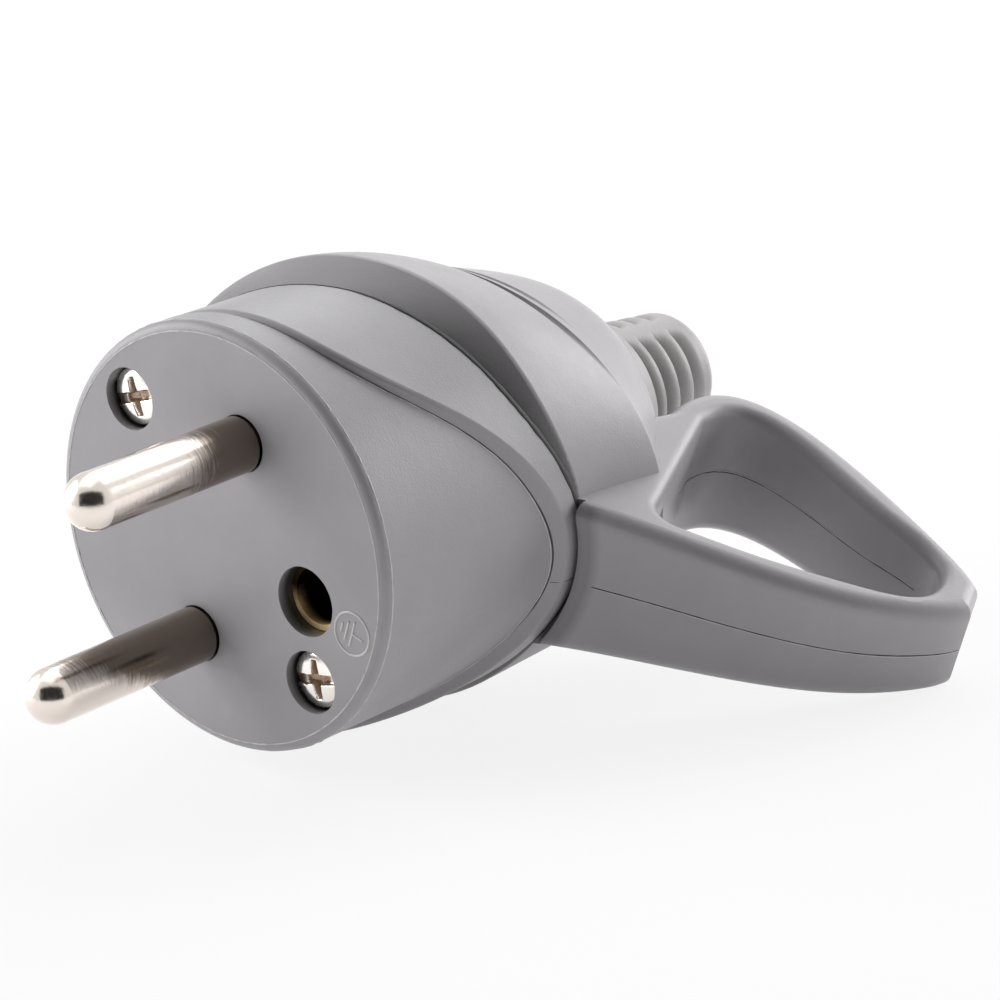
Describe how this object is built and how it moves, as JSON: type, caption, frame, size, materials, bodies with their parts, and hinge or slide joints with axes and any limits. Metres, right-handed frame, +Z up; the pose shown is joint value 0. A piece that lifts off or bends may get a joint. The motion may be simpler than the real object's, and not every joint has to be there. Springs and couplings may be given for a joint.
{
  "type": "mains plug",
  "caption": "Rewirable round-pin mains plug with an earth socket in its face, a side pull ring and a ribbed cord boot.",
  "frame": {"origin": "centre of the plug's front face", "axes": "-Y out of the face along the pins, +Y towards the cord boot, Z up from the surface that the plug lies on, +X on the side of the pull ring"},
  "size_m": [0.0616, 0.076, 0.0402],
  "materials": {
    "body_plastic": "satin, fine grain",
    "boot_plastic": "satin",
    "inner_plastic": "satin",
    "pin_plating": "nickel plated, turned",
    "screw_steel": "bright plated",
    "contact_brass": "plain"
  },
  "bodies": {
    "root": {"front_block": "body_plastic", "middle_housing": "body_plastic", "rear_shell": "body_plastic", "cable_boot": "boot_plastic", "line_pin": "pin_plating", "neutral_pin": "pin_plating", "line_clamp_plate": "screw_steel", "neutral_clamp_plate": "screw_steel", "earth_clamp_plate": "screw_steel", "line_terminal_screw": "screw_steel", "neutral_terminal_screw": "screw_steel", "earth_terminal_screw": "screw_steel", "earth_sleeve": "contact_brass", "earth_terminal": "contact_brass", "assembly_screw_a": "screw_steel", "assembly_screw_b": "screw_steel", "threaded_insert_a": "contact_brass", "threaded_insert_b": "contact_brass", "wire_barrier": "inner_plastic", "clamp_saddle": "inner_plastic", "clamp_screw_a": "screw_steel", "clamp_screw_b": "screw_steel"}
  },
  "joints": []
}
